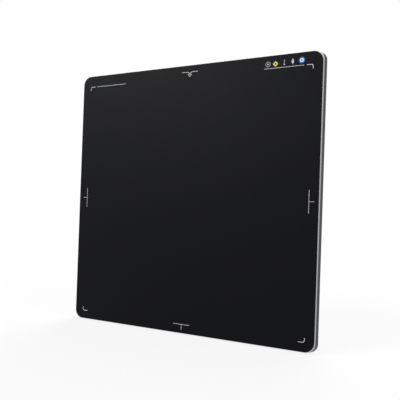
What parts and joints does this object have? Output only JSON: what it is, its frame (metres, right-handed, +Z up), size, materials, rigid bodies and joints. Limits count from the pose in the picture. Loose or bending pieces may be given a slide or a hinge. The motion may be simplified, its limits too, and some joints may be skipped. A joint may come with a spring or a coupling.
{
  "type": "flat panel x-ray detector",
  "caption": "Square cassette-size x-ray detector panel with a black front plate, a silver edge, a grey rear housing and a lift-out battery.",
  "frame": {"origin": "centre of the flat rear plane, where a wall stand's receptor holds the panel", "axes": "+X to the right as seen from the front, +Y out of the rear, +Z up; the imaging side faces -Y"},
  "size_m": [0.46, 0.015, 0.46],
  "materials": {
    "front_carbon": "satin black",
    "silver_frame": "satin anodised",
    "grey_housing": "fine dark grey powder paint",
    "seal_rubber": "matte",
    "screw_steel": "satin",
    "label_foil": "brushed, bare",
    "foam": "matte foam",
    "scintillator": "matte white",
    "panel_glass": "clear",
    "lead_sheet": "dull",
    "support_metal": "milled",
    "board_green": "solder mask",
    "chip_black": "moulded",
    "heat_pad": "matte",
    "shield_can": "tinned",
    "film_amber": "clear amber",
    "window_plastic": "matte",
    "battery_plastic": "matte",
    "battery_cover": "fine texture",
    "cell_foil": "pouch foil",
    "gold_contact": "gold plated",
    "lock_plastic": "matte",
    "port_plastic": "matte",
    "magnet": "nickel plated",
    "light_plastic": "clear, milky",
    "button_plastic": "satin"
  },
  "bodies": {
    "panel": {"front_plate": "front_carbon", "front_bezel": "silver_frame", "seal_gasket": "seal_rubber", "rear_housing": "grey_housing", "edge_screws": "screw_steel", "id_plate": "label_foil", "foam_pad": "foam", "scintillator_panel": "scintillator", "tft_glass_panel": "panel_glass", "lead_shield": "lead_sheet", "support_plate": "support_metal", "support_pillars": "support_metal", "pillar_screws": "screw_steel", "board_standoffs": "support_metal", "board_screws": "screw_steel", "main_chips": "chip_black", "heat_pad": "heat_pad", "power_parts": "chip_black", "wireless_can": "shield_can", "readout_flexes": "film_amber", "gate_flexes": "film_amber", "board_cables": "film_amber", "antenna_left": "board_green", "antenna_right": "board_green", "antenna_window_left": "window_plastic", "antenna_window_right": "window_plastic", "bay_seal": "seal_rubber", "contact_block": "port_plastic", "contact_blades": "gold_contact", "lock_retainers": "screw_steel", "lock_screws": "screw_steel", "tether_shell": "port_plastic", "tether_contacts": "gold_contact", "tether_magnets": "magnet", "port_board": "board_green", "side_board": "board_green", "button_switch": "port_plastic", "status_lights": "light_plastic", "light_guide": "light_plastic", "readout_board_left": "board_green", "readout_board_right": "board_green", "gate_board": "board_green", "main_board": "board_green", "power_board": "board_green", "wireless_board": "board_green"},
    "battery_pack": {"battery_casing": "battery_plastic", "battery_lid": "battery_cover", "battery_cells": "cell_foil", "battery_board": "board_green", "battery_terminals": "gold_contact"},
    "lock_left": {"battery_lock_left": "lock_plastic"},
    "lock_right": {"battery_lock_right": "lock_plastic"},
    "button": {"power_button": "button_plastic"}
  },
  "joints": [
    {"name": "battery_lift", "type": "slide", "parent": "panel", "child": "battery_pack", "axis": [0, 1, 0], "range_m": [0, 0.022]},
    {"name": "lock_left_slide", "type": "slide", "parent": "panel", "child": "lock_left", "axis": [1, 0, 0], "range_m": [0, 0.004]},
    {"name": "lock_right_slide", "type": "slide", "parent": "panel", "child": "lock_right", "axis": [-1, 0, 0], "range_m": [0, 0.004]},
    {"name": "button_press", "type": "slide", "parent": "panel", "child": "button", "axis": [1, 0, 0], "range_m": [0, 0.0008], "stiffness_N_per_m": 1500}
  ]
}
